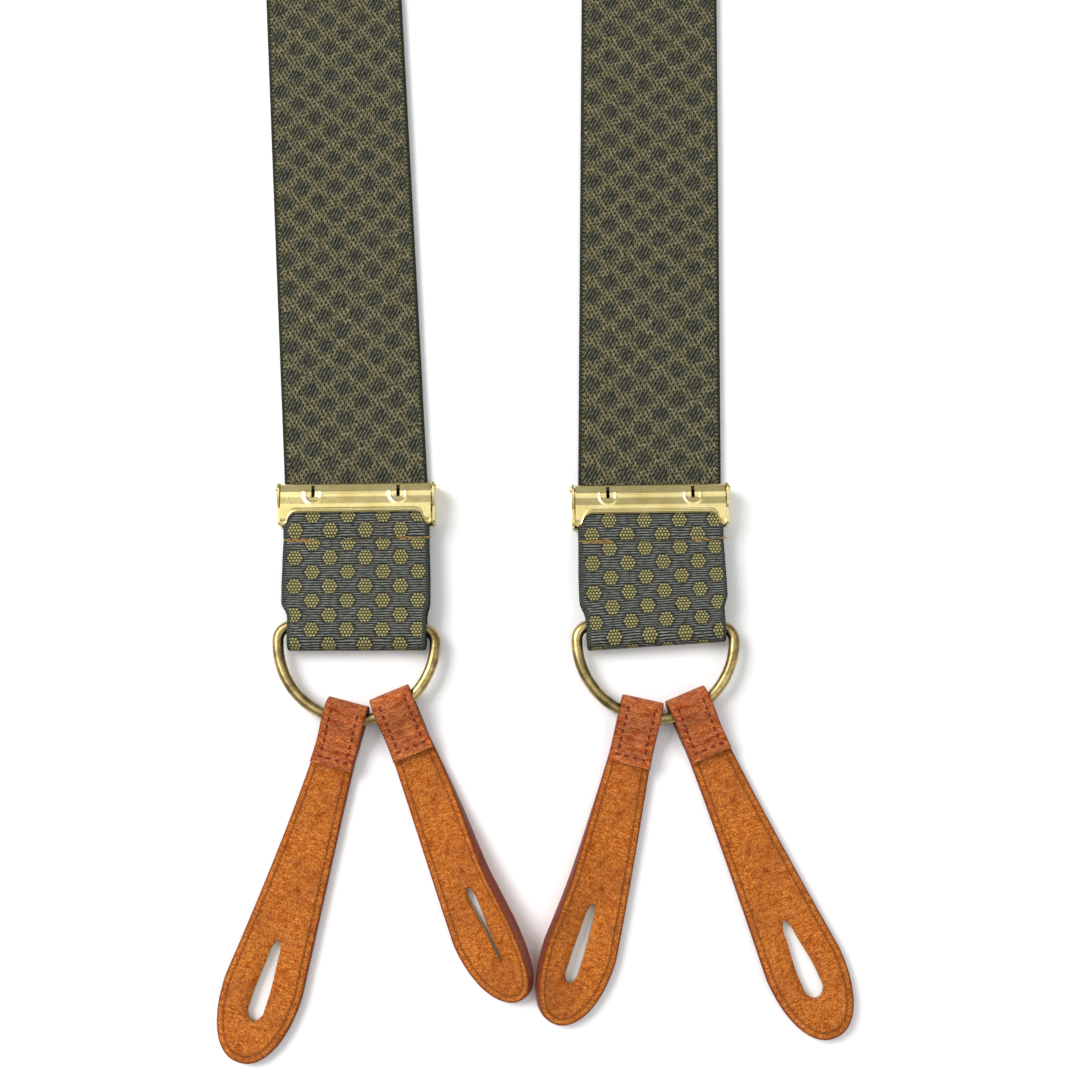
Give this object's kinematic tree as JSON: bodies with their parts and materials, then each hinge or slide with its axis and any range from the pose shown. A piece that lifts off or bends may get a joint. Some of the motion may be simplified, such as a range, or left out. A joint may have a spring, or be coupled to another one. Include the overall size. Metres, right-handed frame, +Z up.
{
  "type": "suspenders",
  "caption": "Button-on Y-back elastic suspenders with lever slide adjusters, D-rings and leather button tabs, laid out flat",
  "frame": {"origin": "on the surface below the middle of the bounding box", "axes": "+X right, +Y from the front tabs to the rear tabs, +Z up off the surface"},
  "size_m": [0.1627, 1.0829, 0.0086],
  "materials": {
    "webbing": "woven elastic webbing, slate and olive-gold figure",
    "gilt": "polished gilt plate",
    "antique_brass": "dull antique brass wire",
    "tan_leather": "pebbled orange-tan leather, dark painted edge",
    "russet_leather": "smooth russet leather"
  },
  "bodies": {
    "straps": {"left_strap": "webbing", "right_strap": "webbing", "back_patch_back": "russet_leather", "back_patch_front": "tan_leather", "rear_strap": "webbing"},
    "left_adjuster": {"left_adjuster_frame": "gilt", "left_adjuster_pin": "gilt"},
    "left_lever": {"left_adjuster_lever": "gilt"},
    "left_loop": {"left_strap_loop": "webbing"},
    "left_ring": {"left_d_ring": "antique_brass"},
    "left_outer_tab": {"left_outer_tab_front": "tan_leather", "left_outer_tab_back": "russet_leather"},
    "left_inner_tab": {"left_inner_tab_front": "tan_leather", "left_inner_tab_back": "russet_leather"},
    "right_adjuster": {"right_adjuster_frame": "gilt", "right_adjuster_pin": "gilt"},
    "right_lever": {"right_adjuster_lever": "gilt"},
    "right_loop": {"right_strap_loop": "webbing"},
    "right_ring": {"right_d_ring": "antique_brass"},
    "right_inner_tab": {"right_inner_tab_front": "tan_leather", "right_inner_tab_back": "russet_leather"},
    "right_outer_tab": {"right_outer_tab_front": "tan_leather", "right_outer_tab_back": "russet_leather"},
    "rear_ring": {"rear_d_ring": "antique_brass"},
    "rear_left_tab": {"rear_left_tab_front": "tan_leather", "rear_left_tab_back": "russet_leather"},
    "rear_right_tab": {"rear_right_tab_front": "tan_leather", "rear_right_tab_back": "russet_leather"}
  },
  "joints": [
    {"name": "left_adjuster_slide", "type": "slide", "parent": "straps", "child": "left_adjuster", "axis": [-0.0651, 0.9979, 0], "range_m": [0, 0.11]},
    {"name": "left_lever_flip", "type": "hinge", "parent": "left_adjuster", "child": "left_lever", "pos_m": [-0.04616, -0.39515, 0.0063], "axis": [-0.9999, -0.014, 0], "range_deg": [0, 100]},
    {"name": "left_loop_follow", "type": "slide", "parent": "left_adjuster", "child": "left_loop", "axis": [0.0651, -0.9979, 0], "range_m": [0, 0.055], "deforming": ["left_strap_loop"]},
    {"name": "left_ring_swing", "type": "hinge", "parent": "left_loop", "child": "left_ring", "pos_m": [-0.04535, -0.43184, 0.0041], "axis": [-0.9997, 0.0262, 0], "range_deg": [-85, 85]},
    {"name": "left_outer_tab_swing", "type": "hinge", "parent": "left_ring", "child": "left_outer_tab", "pos_m": [-0.04801, -0.45487, 0.0041], "axis": [-0.9668, 0.2554, 0], "range_deg": [-60, 75]},
    {"name": "left_inner_tab_swing", "type": "hinge", "parent": "left_ring", "child": "left_inner_tab", "pos_m": [-0.03538, -0.45227, 0.0041], "axis": [-0.9239, -0.3827, 0], "range_deg": [-60, 75]},
    {"name": "right_adjuster_slide", "type": "slide", "parent": "straps", "child": "right_adjuster", "axis": [0.0112, 0.9999, 0], "range_m": [0, 0.11]},
    {"name": "right_lever_flip", "type": "hinge", "parent": "right_adjuster", "child": "right_lever", "pos_m": [0.03114, -0.39544, 0.0063], "axis": [-0.9999, -0.014, 0], "range_deg": [0, 100]},
    {"name": "right_loop_follow", "type": "slide", "parent": "right_adjuster", "child": "right_loop", "axis": [-0.0112, -0.9999, 0], "range_m": [0, 0.055], "deforming": ["right_strap_loop"]},
    {"name": "right_ring_swing", "type": "hinge", "parent": "right_loop", "child": "right_ring", "pos_m": [0.03229, -0.43143, 0.0041], "axis": [-1, 0.0087, 0], "range_deg": [-85, 85]},
    {"name": "right_inner_tab_swing", "type": "hinge", "parent": "right_ring", "child": "right_inner_tab", "pos_m": [0.028, -0.45417, 0.0041], "axis": [-0.9763, 0.2164, 0], "range_deg": [-60, 75]},
    {"name": "right_outer_tab_swing", "type": "hinge", "parent": "right_ring", "child": "right_outer_tab", "pos_m": [0.04102, -0.45257, 0.0041], "axis": [-0.9205, -0.3907, 0], "range_deg": [-60, 75]},
    {"name": "rear_ring_swing", "type": "hinge", "parent": "straps", "child": "rear_ring", "pos_m": [-0.00729, 0.43366, 0.0041], "axis": [1, 0, 0], "range_deg": [-85, 85]},
    {"name": "rear_left_tab_swing", "type": "hinge", "parent": "rear_ring", "child": "rear_left_tab", "pos_m": [-0.00056, 0.45567, 0.0041], "axis": [0.9613, -0.2756, 0], "range_deg": [-60, 75]},
    {"name": "rear_right_tab_swing", "type": "hinge", "parent": "rear_ring", "child": "rear_right_tab", "pos_m": [-0.01401, 0.45567, 0.0041], "axis": [0.9613, 0.2756, 0], "range_deg": [-60, 75]}
  ],
  "couplings": [
    {"joint": "left_loop_follow", "follows": "left_adjuster_slide", "ratio": 0.5},
    {"joint": "right_loop_follow", "follows": "right_adjuster_slide", "ratio": 0.5}
  ]
}
